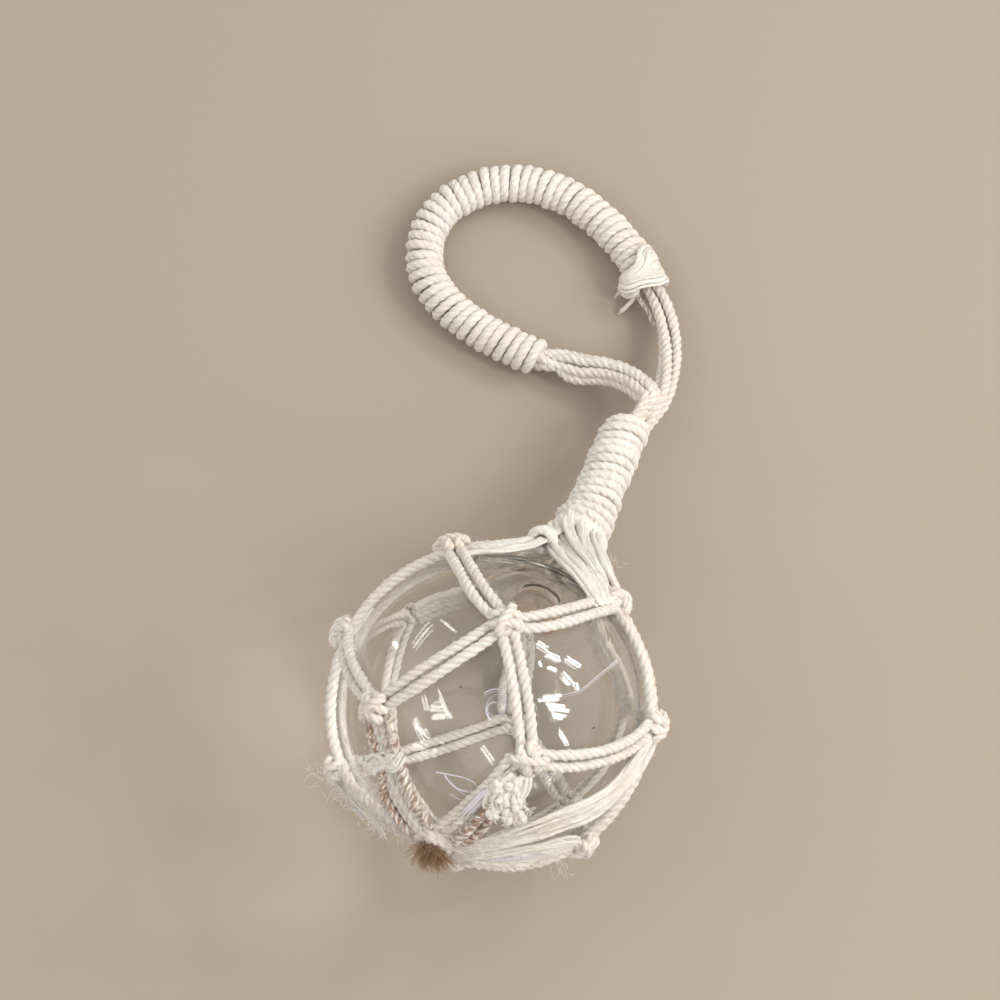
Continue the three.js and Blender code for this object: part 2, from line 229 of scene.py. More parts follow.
def stand(obj, x_way, y_way, z_way, place):
    """Puts an object at a place in metres, its axes along three directions."""
    rows = [[x_way[j], y_way[j], z_way[j], place[j]] for j in range(3)]
    obj.matrix_world = mathutils.Matrix(rows + [[0, 0, 0, 1]])


def mesh_object(name, points, faces, material):
    """A smooth-shaded object from points in millimetres."""
    mesh = bpy.data.meshes.new(name)
    mesh.from_pydata(((points + SHIFT) * METRES).tolist(), [], faces)
    mesh.polygons.foreach_set("use_smooth", [True] * len(mesh.polygons))
    mesh.materials.append(material)
    return add_object(name, mesh)


def finish_piece(obj, slot, *nodes):
    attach(obj, "root")
    if nodes:
        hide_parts(*nodes)
    return obj


def cotton_piece(build, name, *nodes):
    return finish_piece(build.make(name, cotton), "cotton_cord", *nodes)


class Build:
    """Collects cords and fibres into one mesh."""

    def __init__(self):
        self.points, self.faces, self.uv = [], [], []
        self.groove, self.tone, self.worn = [], [], []
        self.count = 0

    def grid(self, points, uv, groove, tone, worn=0.0):
        n, m, _ = points.shape
        ids = self.count + np.arange(n * m).reshape(n, m)
        after = np.roll(ids, -1, 1)
        quads = np.stack([ids[:-1], after[:-1], after[1:], ids[1:]], axis=-1)
        self.faces += [tuple(q) for q in quads.reshape(-1, 4).tolist()]
        self.faces.append(tuple(ids[0][::-1].tolist()))
        self.faces.append(tuple(ids[-1].tolist()))
        self.points.append(points.reshape(-1, 3))
        self.uv.append(uv.reshape(-1, 2))
        self.groove.append(groove.reshape(-1))
        self.tone.append(np.full(n * m, tone))
        self.worn.append(np.repeat(np.broadcast_to(worn, n), m).astype(float))
        self.count += n * m

    def cord(self, path, diameter=CORD, lay=8.6, taper=(0.9, 0.9), step=0.55, fuzz=0.0, sides=12,
            relief=0.62, worn=0.0, lilac=0.0):
        """A three-strand twisted cord. worn is one value, or the values at its two ends."""
        p = even(np.asarray(path, float), step)
        t, a, b = carried_frame(p)
        s = arc_length(p)
        phase = rng.uniform(0, TURN)
        twist = s / lay * TURN + phase + 0.25 * np.sin(s / 7 + phase * 3)
        k = np.arange(sides) / sides * TURN
        # Three round strands, with valleys filled by soft fibres
        strand_out, strand_r, valley = 0.536, 0.464, 0.70
        fold = np.abs(((k + math.pi / 3) % (TURN / 3)) - math.pi / 3)
        bulge = strand_r**2 - (strand_out * np.sin(fold)) ** 2
        shape = strand_out * np.cos(fold) + np.sqrt(np.clip(bulge, 0, None))
        shape = 1 - (1 - np.maximum(shape, valley)) * relief
        wobble = 1 + 0.04 * np.sin(s / 2.9 + phase * 5) + 0.03 * np.sin(s / 1.1 + phase * 9)
        ends = np.minimum(s / taper[0], (s[-1] - s) / taper[1])
        wobble = wobble * np.sqrt(np.clip(ends, 0.04, 1))
        angle = k[None, :] + twist[:, None]
        rough = 1 + 0.03 * rng.normal(size=(len(p), sides))
        radius = diameter / 2 * shape[None, :] * wobble[:, None] * rough
        ring = a[:, None, :] * np.cos(angle)[..., None] + b[:, None, :] * np.sin(angle)[..., None]
        # groove is 0 in the valleys between strands, where the material paints shade, and 1 on the crests
        groove = np.repeat(((shape - valley) / (1 - valley))[None, :], len(p), 0)
        round_it = np.repeat(k[None, :] / (TURN) * sides, len(p), 0)
        uv = np.stack([np.repeat(s[:, None], sides, 1), round_it], axis=-1)
        wear = np.interp(s / s[-1], [0, 1], worn) if np.size(worn) == 2 else worn
        tone = -lilac if lilac else rng.uniform()
        self.grid(p[:, None, :] + ring * radius[..., None], uv, groove, tone, wear)
        self.fuzz_on(p, t, diameter / 2, int(s[-1] * fuzz * 1.6))
        return p

    def fuzz_on(self, p, t, radius, count):
        for _ in range(count):
            i = rng.integers(2, len(p) - 2)
            d = unit(np.cross(t[i], rng.normal(size=3)))
            way = unit(d + t[i] * rng.uniform(-1.6, 1.6))
            self.fibre(p[i] + d * radius * 0.85, way, rng.uniform(0.7, 2.2), 0.045)

    def fibre(self, start, way, length, thick, bend=0.5, parts=3):
        points = [start]
        d = unit(way)
        for _ in range(parts):
            d = unit(d + rng.normal(size=3) * bend)
            points.append(points[-1] + d * length / parts)
        self.hair(np.array(points), thick)

    def hair(self, p, thick, sides=3):
        """A thin tapering tube along a path."""
        _, a, b = carried_frame(p)
        k = np.arange(sides) / sides * TURN
        radius = np.linspace(1, 0.35, len(p)) * thick
        ring = a[:, None] * np.cos(k)[None, :, None] + b[:, None] * np.sin(k)[None, :, None]
        flat_uv, groove = np.zeros((len(p), sides, 2)), np.full((len(p), sides), 0.8)
        self.grid(p[:, None] + ring * radius[:, None, None], flat_uv, groove, rng.uniform())

    def hank(self, path, width, depth, count, thick=1.1, worn=0.0, lilac=0.0, up=None, fray_end=0,
            waver=0.5, pinch=1.0):
        """Unlaid yarns side by side along a path. fray_end is how far their ends may differ."""
        p = even(np.asarray(path, float), 1.0)
        t = tangents(p)
        out = unit(p - CENTRE) if up is None else np.broadcast_to(up, p.shape)
        side = unit(np.cross(out, t))
        out = np.cross(t, side)
        s = arc_length(p)
        gathered = np.interp(s / s[-1], [0, 0.2, 0.8, 1], [0.6, 1, 1, pinch])
        for k in range(count):
            a, b = (k + 0.5) / count * 2 - 1 + rng.normal() * 0.08, rng.uniform(-1, 1)
            across = width / 2 * a * (1 + 0.12 * np.sin(s / 9 + k)) * gathered
            across = across + waver * 0.5 * np.sin(s / rng.uniform(5, 11) + k * 1.7)
            lift = depth / 2 * (b * 0.4 + 0.8 * (1 - a * a)) + waver * 0.4 * np.sin(s / rng.uniform(4, 9) + k)
            cut = len(p) - (rng.integers(0, fray_end) if fray_end else 0)
            yarn = (p + along(side, across) + along(out, lift))[:max(5, cut)]
            self.cord(yarn, diameter=thick * rng.uniform(0.75, 1.3), step=1.0, sides=6, relief=0.2,
                    lay=rng.uniform(9, 30), worn=worn, fuzz=0.35, lilac=lilac,
                    taper=(0.7, 2.5 if fray_end else 0.7))

    def fluff(self, centres, count, length, thick, spread):
        """Tangled loose fibres heaped about some places, clear of the glass."""
        for _ in range(count):
            c = centres[rng.integers(len(centres))]
            out = unit(c - CENTRE)
            start = c + rng.normal(size=3) * spread - out * abs(rng.normal()) * 0.6
            gap = GLASS_R + CLEAR - np.linalg.norm(start - CENTRE)
            if gap > 0:
                start = start + out * gap
            way = unit(rng.normal(size=3) + out * 0.5)
            self.fibre(start, way, rng.uniform(*length), thick, bend=0.75, parts=6)

    def make(self, name, material, press=True):
        """What would reach below the floor is pressed flat on it."""
        points = np.concatenate(self.points)
        if press:
            points[:, 2] = np.maximum(points[:, 2], 0.0)
        obj = mesh_object(name, points, self.faces, material)
        mesh = obj.data
        loops = np.empty(len(mesh.loops), dtype=np.int32)
        mesh.loops.foreach_get("vertex_index", loops)
        uv = np.concatenate(self.uv)[loops].ravel().astype(np.float32)
        mesh.uv_layers.new(name="lay").data.foreach_set("uv", uv)
        for key, data in (("groove", self.groove), ("tone", self.tone), ("worn", self.worn)):
            attribute = mesh.attributes.new(key, 'FLOAT', 'POINT')
            attribute.data.foreach_set("value", np.concatenate(data).astype(np.float32))
        return obj


# Material nodes: an input is the output of another node, or a plain value
def new_material(name, values):
    material = bpy.data.materials.new(name)
    material.use_nodes = True
    shader = material.node_tree.nodes["Principled BSDF"]
    for key, value in values.items():
        shader.inputs[key].default_value = value
    return material, material.node_tree, shader


def add_node(tree, kind, inputs, **properties):
    made = tree.nodes.new("ShaderNode" + kind)
    for key, value in properties.items():
        setattr(made, key, value)
    for key, source in inputs.items():
        if isinstance(source, bpy.types.NodeSocket):
            tree.links.new(source, made.inputs[key])
        else:
            made.inputs[key].default_value = source
    return made


def attribute(tree, name):
    return add_node(tree, "Attribute", {}, attribute_name=name).outputs["Fac"]


def object_place(tree):
    return add_node(tree, "TexCoord", {}).outputs["Object"]


def noise(tree, place, scale, detail, roughness=0.5):
    inputs = {"Vector": place, "Scale": scale, "Detail": detail, "Roughness": roughness}
    return add_node(tree, "TexNoise", inputs).outputs["Fac"]


def stretched(tree, place, scale):
    return add_node(tree, "Mapping", {"Vector": place, "Scale": scale}).outputs["Vector"]


def remap(tree, value, low, high, to_low=0.0, to_high=1.0):
    inputs = {"Value": value, "From Min": low, "From Max": high, "To Min": to_low, "To Max": to_high}
    return add_node(tree, "MapRange", inputs).outputs["Result"]


def colour_mix(tree, share, a, b, blend='MIX'):
    inputs = {"Factor": share, "A": a, "B": b}
    return add_node(tree, "Mix", inputs, data_type='RGBA', blend_type=blend).outputs["Result"]


def bump(tree, height, strength, distance, under=None):
    inputs = {"Height": height, "Strength": strength, "Distance": distance}
    if under:
        inputs["Normal"] = under
    return add_node(tree, "Bump", inputs).outputs["Normal"]


GREYED = (0.80, 0.72, 0.62, 1)
BROWN_STAIN = (0.30, 0.19, 0.12, 1)
LILAC_TINT = (0.78, 0.71, 0.79, 1)


def cotton_material(name, light, dark, groove_shade):
    """Twisted fibre: streaked, soiled in places, with painted shade in its grooves and stained where worn."""
    values = {"Roughness": 0.9, "Specular IOR Level": 0.12, "Sheen Weight": 0.35, "Sheen Roughness": 0.5}
    material, tree, shader = new_material(name, values)
    lay = add_node(tree, "UVMap", {}, uv_map="lay").outputs["UV"]
    place = object_place(tree)
    tone = attribute(tree, "tone")
    soil = remap(tree, noise(tree, place, 55, 5), 0.36, 0.62, 0.0, 0.6)
    fibres = noise(tree, stretched(tree, lay, (0.9, 2.6, 1)), 1.6, 6, 0.7)
    streaks = add_node(tree, "Math", {0: fibres, 1: 0.55, 2: soil}, operation='MULTIPLY_ADD').outputs[0]
    colour = colour_mix(tree, streaks, (*dark, 1), (*light, 1))
    colour = colour_mix(tree, remap(tree, tone, 0, 1, 0.0, 0.22), colour, GREYED, 'MULTIPLY')
    flecks = remap(tree, noise(tree, stretched(tree, lay, (0.55, 0.62, 1)), 1.0, 4), 0.44, 0.60)
    stain = add_node(tree, "Math", {0: flecks, 1: attribute(tree, "worn")}, operation='MULTIPLY').outputs[0]
    colour = colour_mix(tree, stain, colour, BROWN_STAIN)
    colour = colour_mix(tree, remap(tree, tone, 0.0, -1.0, 0.0, 0.7), colour, LILAC_TINT)
    # Painted shade: the grooves between the strands darken towards the third colour
    colour = colour_mix(tree, remap(tree, attribute(tree, "groove"), 0.0, 0.7), (*groove_shade, 1), colour)
    tree.links.new(colour, shader.inputs["Base Color"])
    streaky = bump(tree, fibres, 0.8, 0.0005)
    fluffy = bump(tree, noise(tree, place, 1250, 3), 0.75, 0.0004, streaky)
    tree.links.new(fluffy, shader.inputs["Normal"])
    return material


def clear_glass_material():
    # Painted shade: the grey tint darkens what is seen through the ball, standing in for the shadow it does
    # not cast
    values = {"Base Color": (0.925, 0.92, 0.91, 1), "Roughness": 0.012, "IOR": 1.48,
            "Transmission Weight": 1.0}
    material, tree, shader = new_material("clear_glass", values)
    waves = noise(tree, object_place(tree), 26, 2)
    tree.links.new(bump(tree, waves, 0.12, 0.0012), shader.inputs["Normal"])
    return material


def seal_glass_material():
    """Cloudy glass of the seal, its brown and peach mottle a painted shade for the shaded sand seen through
    it.
    """
    values = {"Roughness": 0.16, "IOR": 1.42, "Transmission Weight": 0.9}
    material, tree, shader = new_material("seal_painted_shade_glass", values)
    shade_mottle = noise(tree, object_place(tree), 160, 4)
    # Painted shade: brown and peach mottle for the shaded sand seen through the seal
    colour = colour_mix(tree, shade_mottle, (0.74, 0.50, 0.34, 1), (0.96, 0.82, 0.68, 1))
    tree.links.new(colour, shader.inputs["Base Color"])
    tree.links.new(bump(tree, shade_mottle, 0.5, 0.001), shader.inputs["Normal"])
    return material


# The third colour of each material is the painted shade in the grooves
cotton = cotton_material("cotton", (0.95, 0.918, 0.858), (0.89, 0.81, 0.70), (0.48, 0.31, 0.19))
# Painted shade: a darker copy of the cotton for the gathered cords inside the neck's binding, where shade
# falls
core_cotton_painted_shade = cotton_material("cotton_under_binding_painted_shade", (0.80, 0.68, 0.54), (0.64, 0.50, 0.37),
    (0.42, 0.28, 0.18))
frayed = cotton_material("frayed_brown", (0.42, 0.26, 0.14), (0.22, 0.12, 0.06), (0.12, 0.06, 0.035))
lint = cotton_material("stray_lint", (0.86, 0.83, 0.92), (0.74, 0.70, 0.82), (0.6, 0.55, 0.65))


# Glass ball: an outer and an inner surface, with seeds trapped in the wall
WALL = 2.6
SEEDS = 16


class Shell:
    """Collects round surfaces into one mesh."""

    def __init__(self):
        self.points, self.faces, self.count = [], [], 0

    def add(self, points, ends, inward=False):
        """Adds a surface from rows of points and its two end points."""
        n, m, _ = points.shape
        ids = self.count + np.arange(n * m).reshape(n, m)
        after = np.roll(ids, -1, 1)
        first, last = self.count + n * m, self.count + n * m + 1
        faces = np.stack([ids[:-1], ids[1:], after[1:], after[:-1]], axis=-1).reshape(-1, 4).tolist()
        faces += [[first, int(a), int(b)] for a, b in zip(ids[0], after[0])]
        faces += [[last, int(b), int(a)] for a, b in zip(ids[-1], after[-1])]
        self.faces += [tuple(face[::-1]) if inward else tuple(face) for face in faces]
        self.points += [points.reshape(-1, 3), np.array(ends)]
        self.count += n * m + 2

    def make(self, name, material):
        return mesh_object(name, np.concatenate(self.points), self.faces, material)


def round_grid(rows, columns):
    """Angles from the pole and round it, without the poles."""
    from_pole = np.linspace(0, math.pi, rows + 1)[1:-1]
    around = np.arange(columns) / columns * TURN
    return np.meshgrid(from_pole, around, indexing='ij')


def blown(T, P):
    """Slow waves of a blown wall, by angles from the neck's pole and round it."""
    return (0.10 * np.sin(2 * P + 0.6) * np.sin(T) ** 2 + 0.07 * np.sin(3 * T + P)
            + 0.04 * np.sin(7 * T - 2 * P) * np.sin(T) + 0.02 * np.sin(11 * P + 5 * T) * np.sin(T) ** 2)


def outer_radius(T, P):
    """The outer surface, with the raised seal and the ridge round it."""
    seal = 1.2 / (1 + np.exp((T * GLASS_R - 6.8) * 2.2))
    ridge = 0.25 * np.exp(-((T * GLASS_R - 7.6) / 0.8) ** 2)
    return GLASS_R - 0.12 + 0.55 * blown(T, P) * np.clip(T / 0.3, 0, 1) + seal + ridge


def inner_radius(T, P):
    """The inner surface, with swirls round the seal and a lump under it."""
    swirl = 0.20 * np.sin(T * 62 + 2 * np.sin(P) + 1.3 * np.sin(2 * P)) * np.exp(-((T - 0.5) / 0.26) ** 2)
    swirl = swirl + 0.16 * np.sin(T * 118 - 2 * np.cos(P)) * np.exp(-((T - 0.46) / 0.24) ** 2)
    lump = 1.3 * np.exp(-(T * GLASS_R / 9.5) ** 2)
    return GLASS_R - WALL + 0.9 * blown(T + 0.4, P) * np.sin(T) ** 2 + swirl * np.sin(T) - lump


def about_axis(shell, radius_at, rows, columns, inward):
    T, P = round_grid(rows, columns)
    across = UP * np.cos(P)[..., None] + SIDE * np.sin(P)[..., None]
    ways = AXIS * np.cos(T)[..., None] + across * np.sin(T)[..., None]
    ends = [CENTRE + AXIS * math.cos(a) * radius_at(a, 0.0) for a in (0.0, math.pi)]
    shell.add(CENTRE + ways * radius_at(T, P)[..., None], ends, inward)


def seed_bubble(shell):
    """A small long bubble half way through the wall."""
    out = unit(rng.normal(size=3))
    radius = rng.uniform(0.18, 0.42)
    long_way = unit(np.cross(out, rng.normal(size=3)))
    T, P = round_grid(6, 8)
    bubble = np.stack([np.sin(T) * np.cos(P), np.sin(T) * np.sin(P), np.cos(T)], -1) * radius
    pole = np.array([0, 0, radius])
    middle = CENTRE + out * (GLASS_R - 1.4)

    def stretch(points):
        return points + (points @ long_way)[..., None] * long_way * 1.1
    shell.add(middle + stretch(bubble), [middle + stretch(pole), middle - stretch(pole)], True)


def glass_ball():
    shell = Shell()
    about_axis(shell, outer_radius, 110, 150, False)
    about_axis(shell, inner_radius, 230, 140, True)
    for _ in range(SEEDS):
        seed_bubble(shell)
    ball = shell.make("blown_glass_ball", clear_glass_material())
    finish_piece(ball, "clear_glass", "glass_ball")
    # What lies behind the ball stays as bright as real glass leaves it
    ball.visible_shadow = False


def seal_lump():
    middle = CENTRE + AXIS * 41.6
    thick, wide = 4.4, 9.8
    a = unit(np.cross(AXIS, UP))
    b = np.cross(AXIS, a)
    T, P = round_grid(24, 40)
    uneven = 1 + 0.09 * np.sin(3 * P + 1) * np.sin(T) + 0.07 * np.sin(2 * P + 3 * T)
    points = (middle + AXIS * (thick * np.cos(T) * uneven)[..., None]
            + a * (wide * np.sin(T) * np.cos(P) * uneven)[..., None]
            + b * (wide * np.sin(T) * np.sin(P) * uneven)[..., None])
    shell = Shell()
    shell.add(points, [middle + AXIS * thick, middle - AXIS * thick])
    finish_piece(shell.make("glass_seal_lump", seal_glass_material()), "clear_glass")


glass_ball()
seal_lump()


# Net
PAIR_MIDDLES_SEEN = {"upper_cords_1_b": (473, 583), "upper_cords_2_a": (561, 616),
    "lower_cords_1_a": (440, 663), "lower_cords_1_b": (519, 690),
    "lower_cords_2_a": (590, 758)}


def pair(name, a, b):
    """Two cords between two knots, drawn aside where the view shows their middle."""
    m = Build()
    dirs = arc(direction(a), direction(b), 1.5, 1.5)
    if name in PAIR_MIDDLES_SEEN:
        middle = unit(on_ball(*PAIR_MIDDLES_SEEN[name], ORBIT) - CENTRE)
        q = np.linspace(0, 1, len(dirs))[:, None]
        pull = 2 * middle - 0.5 * (dirs[0] + dirs[-1])
        dirs = unit((1 - q) ** 2 * dirs[0] + 2 * q * (1 - q) * pull + q**2 * dirs[-1])
    u = np.linspace(0, 1, len(dirs))
    swell = np.sin(math.pi * u)
    lean = rng.uniform(-0.5, 0.5)
    gap = rng.uniform(0.05, 0.55)
    for sign in (-1, 1):
        across = sign * (1.72 + gap * swell) + lean * swell + 0.12 * np.sin(u * 9 + sign)
        lift = 0.05 + 0.12 * np.sin(u * 7 + sign * 2)
        m.cord(beside(dirs, across, lift), fuzz=0.6, relief=0.6)
    cotton_piece(m, name + "_rope", name)


def band(name, path, outward, widths, lifts, extra=None, worn=((0, 0),) * 4, relief=0.62, lay=8.6):
    """Four cords that close up and pile on each other towards the end."""
    m = Build()
    p = smooth_path(path, 0.8)
    t = tangents(p)
    u = np.linspace(0, 1, len(p))
    up = np.array([outward(q, share) for q, share in zip(p, u)])
    up = unit(up - t * np.sum(up * t, 1)[:, None])
    side = np.cross(up, t)
    for k, pile in enumerate((-0.5, 0.8, -0.8, 0.5)):
        spacing = widths[0] + (widths[1] - widths[0]) * u
        across = (k - 1.5) * spacing + 0.2 * np.sin(u * 6 + k * 2)
        lift = pile * (lifts[0] + (lifts[1] - lifts[0]) * u**2) + 0.1 * np.sin(u * 8 + k)
        path = p + along(side, across) + along(up, lift)
        m.cord(path, fuzz=0.7, worn=worn[k], relief=relief, lay=lay)
    if extra:
        extra(m, p)
    cotton_piece(m, name + "_rope", name)


def knot(name, place, twist):
    """Two turns bound over the crossing cords, with one cord passing back over them."""
    m = Build()
    w = direction(place)
    u = unit(AXIS - w * np.dot(AXIS, w))
    v = np.cross(u, w)
    c, s = math.cos(twist), math.sin(twist)
    u, v = u * c + v * s, v * c - u * s
    middle = CENTRE + w * (GLASS_R + CLEAR + KNOT_THICKNESS / 2)
    wide, high = KNOT_WIDTH / 2 - CORD_R, KNOT_THICKNESS / 2 - CORD_R + 0.1
    first, turns = -math.pi * 0.62, 2.15
    psi = np.linspace(first, first + TURN * turns, 90)
    run = (psi - psi.mean()) / (TURN) * 3.35
    squeeze = 1 - 0.16 * np.abs(run / run.max()) ** 2
    wrap = middle + along(u, run) + along(v, wide * np.cos(psi) * squeeze) + along(w, high * np.sin(psi))
    m.cord(wrap, fuzz=0.6)
    q = np.linspace(-1, 1, 30)
    rise = high + 1.1 - 3.6 * np.abs(q) ** 2.6
    over = middle + along(u, KNOT_LENGTH / 2 * q) + along(v, 2.9 * np.sin(q * 1.5)) + along(w, rise)
    m.cord(over, diameter=3.3, fuzz=0.6)
    rise = high - 0.9 - 2.2 * np.abs(q) ** 2
    low = middle - along(u, 4.7 * q) + along(v, 3.4 * np.cos(q * 1.5) - 2.2) + along(w, rise)
    m.cord(low, diameter=3.4, fuzz=0.4)
    cotton_piece(m, name + "_rope", name)


for i in range(RING):
    pair(f"upper_cords_{i + 1}_a", UPPER[i], MIDDLE[i - 1])
    pair(f"upper_cords_{i + 1}_b", UPPER[i], MIDDLE[i])
    pair(f"lower_cords_{i + 1}_a", MIDDLE[i], LOWER[i])
    pair(f"lower_cords_{i + 1}_b", MIDDLE[i], LOWER[(i + 1) % RING])
for ring, knots, sign in (("upper", UPPER, 1), ("middle", MIDDLE, -1), ("lower", LOWER, 1)):
    for i, place in enumerate(knots):
        knot(f"{ring}_knot_{i + 1}", place, sign * math.radians(KNOT_TWIST + rng.uniform(-8, 8)))


# Broken and loosened strands on the cords to the bottom gather
def fray(count, spread, length, thick=0.05):
    """Adds fibres to a band, over a share of its length."""
    def add(m, p):
        t = tangents(p)
        for _ in range(count):
            i = int(len(p) * rng.uniform(*spread))
            d = unit(p[i] - CENTRE + rng.normal(size=3) * 18 + t[i] * rng.uniform(-20, 30))
            m.fibre(p[i] + d * CORD_R, d, rng.uniform(*length), thick, bend=0.45, parts=5)
    return add


def locks(m, roots, count, reach, thick, lift):
    """Soft tapering locks of loose cotton that spread every way from some places."""
    for x, y in roots:
        for k in range(count):
            turn = TURN * (k + rng.uniform(-0.3, 0.3)) / count
            far = reach * rng.uniform(0.6, 1.15)
            curl = turn + rng.normal() * 0.5
            rise = rng.uniform(0.4, 1.9)
            half = far * 0.55
            path = [on_ball(x + rng.normal(), y + rng.normal(), ORBIT + lift),
                    on_ball(x + half * math.cos(turn), y + half * math.sin(turn), ORBIT + lift + rise),
                    on_ball(x + far * math.cos(curl), y + far * math.sin(curl), ORBIT + lift + rise * 0.4)]
            path = smooth_path(path, 0.5)
            m.cord(path, diameter=thick * rng.uniform(0.7, 1.2), relief=0.25, lay=rng.uniform(14, 40),
                   taper=(1, arc_length(path)[-1] * 0.6), fuzz=1.8)


HEAP_LOW_SEEN = ((362, 762), (372, 765), (384, 761), (396, 756))
HEAP_HIGH_SEEN = ((366, 771), (378, 758), (392, 768), (404, 752))
HEAP_LOCKS_SEEN = ((362, 763), (371, 768), (382, 764), (392, 759))
HEAP_FLUFF_SEEN = ((360, 761), (366, 768), (374, 762), (382, 768), (390, 760))
STAINED_ABOVE_SEEN = ((367, 722), (373, 738), (377, 752))
STAINED_BELOW_SEEN = ((384, 770), (383, 790), (393, 812), (410, 834))
HEAP_THREADS_SEEN = ((352, 806), (362, 813), (374, 816), (388, 824))


def worn_down(m, p):
    """The heap of broken strands beside the cords below lower_knot_1."""
    fray(60, (0.4, 0.98), (2, 5))(m, p)
    m.hank(seen(HEAP_LOW_SEEN, 1.3), 4.6, 2.6, 9, thick=1.5, fray_end=5, waver=1.4)
    m.hank(seen(HEAP_HIGH_SEEN, 2.0), 3.4, 2.0, 6, thick=1.3, fray_end=4, waver=1.6)
    locks(m, HEAP_LOCKS_SEEN, 7, 8.5, 2.1, 1.6)
    m.fluff(on_net(HEAP_FLUFF_SEEN, 2.6), 260, (1.2, 2.8), thick=0.12, spread=1.3)
    m.cord(seen(STAINED_ABOVE_SEEN, 1.8), diameter=3.0, relief=0.8, worn=2.6, fuzz=1.5)
    m.cord(seen(STAINED_BELOW_SEEN, 2.0), diameter=3.2, relief=0.8, worn=(2.6, 0.5), fuzz=2)
    m.hank(seen(HEAP_THREADS_SEEN), 2.6, 1.2, 5, thick=0.8, lilac=1, fray_end=5)


FLAP_FLUFF_SEEN = ((496, 784), (505, 780), (500, 796), (508, 806), (518, 808), (527, 812),
    (505, 818), (512, 824), (492, 798), (499, 810), (520, 818))
FLAP_YARNS_SEEN = (((514, 772), (503, 786), (500, 800), (506, 818)),
    ((521, 776), (512, 792), (516, 806), (528, 815)),
    ((507, 778), (494, 790), (490, 804), (497, 824)),
    ((524, 774), (519, 788), (511, 802), (516, 822)))
FLAP_LOCKS_SEEN = ((498, 787), (513, 786), (503, 800), (517, 803), (493, 812), (507, 815), (520, 817))
FLAP_STAINED_SEEN = (((492, 800), (483, 814), (471, 828), (456, 841)),
    ((498, 806), (490, 820), (478, 833), (462, 844)))
FLAP_THREADS_SEEN = ((488, 790), (480, 798), (472, 806), (462, 818))


def torn_flap(m, p):
    """The ragged flap of unlaid cotton below lower_knot_2."""
    fray(50, (0.3, 0.98), (2, 5))(m, p)
    m.fluff(on_net(FLAP_FLUFF_SEEN, 2.6), 300, (1.2, 3.0), thick=0.12, spread=1.6)
    for strand in FLAP_YARNS_SEEN:
        m.hank(seen(strand, 1.9), 4.6, 2.6, 9, thick=1.4, fray_end=5, waver=1.4)
    locks(m, FLAP_LOCKS_SEEN, 7, 9.5, 2.3, 2.6)
    for strand in FLAP_STAINED_SEEN:
        m.cord(seen(strand, 2.1), diameter=3.5, relief=0.8, worn=(3.0, 1.0), fuzz=2)
    m.hank(seen(FLAP_THREADS_SEEN, 2.0), 3.0, 1.4, 6, thick=0.9, lilac=1, fray_end=5)


LOOSENED_SEEN = (
    (4.4, ((446, 851), (470, 845), (510, 833), (550, 820), (588, 805), (612, 788), (634, 762), (649, 736))),
    (4.4, ((448, 854), (474, 850), (512, 841), (550, 830), (592, 813), (620, 790), (642, 762), (653, 736))),
    (3.4, ((448, 857), (480, 855), (516, 850), (550, 844), (570, 840), (579, 840))))
LOW_CORD_SEEN = ((446, 861), (478, 864), (516, 867), (552, 858), (584, 843))
LOW_THREADS_SEEN = ((478, 856), (500, 858), (532, 856), (548, 852))


def loosened(m, p):
    """Unlaid strands between the bottom gather and the knots at the lower right."""
    for k, (width, strand) in enumerate(LOOSENED_SEEN):
        path = seen(strand, 0.5 + 0.3 * k)
        m.hank(path, width, 1.8, 9, thick=1.3, worn=(0.35, 0.0), waver=0.8, pinch=0.35)
    m.cord(seen(LOW_CORD_SEEN, 1.2), diameter=3.5, worn=(0.4, 0.1), fuzz=1)
    m.hank(seen(LOW_THREADS_SEEN, 1.6), 2.4, 1.0, 5, thick=0.8, lilac=1, fray_end=4)
    fray(40, (0.1, 0.98), (2, 5))(m, p)


RAGGED_SEEN = (((330, 762), (336, 780), (348, 796), (356, 812)),
    ((334, 770), (344, 788), (360, 803), (378, 812)),
    ((342, 786), (356, 800), (372, 816), (388, 836)),
    ((338, 776), (350, 794), (366, 810), (380, 828)))
RAGGED_FLUFF_SEEN = ((334, 778), (342, 790), (352, 802), (364, 814), (376, 826))


def ragged(m, p):
    """Broken strands between lower_knot_5 and the bottom gather."""
    fray(60, (0.05, 0.95), (2, 6), 0.07)(m, p)
    for strand in RAGGED_SEEN:
        m.hank(seen(strand, 0.8), 3.0, 1.6, 6, thick=0.9, fray_end=7, waver=1.2)
    m.fluff(on_net(RAGGED_FLUFF_SEEN, 1.2), 420, (2, 4.5), thick=0.09, spread=1.2)


LOOSENED_BAND = 2
BOTTOM_EXTRAS = (worn_down, torn_flap, loosened, fray(20, (0.4, 0.95), (2, 5)), ragged)
BOTTOM_WEAR = (((0, 0.2), (0.0, 0.3), (0.5, 0.9), (0.9, 1.0)), ((0, 0.2), (0.2, 0.5), (0.6, 0.9), (0.9, 0.9)),
    ((0.1, 0.3),) * 4, ((0, 0.2),) * 4, ((0.2, 0.6),) * 4)


def from_ball(point, _share):
    return unit(point - CENTRE)


for i, place in enumerate(LOWER):
    relief, lay = (0.3, 24) if i == LOOSENED_BAND else (0.62, 8.6)
    dirs = arc(direction(place), BOTTOM, 2.0, 3.0, 14)
    band(f"bottom_cords_{i + 1}", CENTRE + dirs * ORBIT, from_ball, (2.95, 2.2), (0.1, 0.5),
         extra=BOTTOM_EXTRAS[i], worn=BOTTOM_WEAR[i], relief=relief, lay=lay)


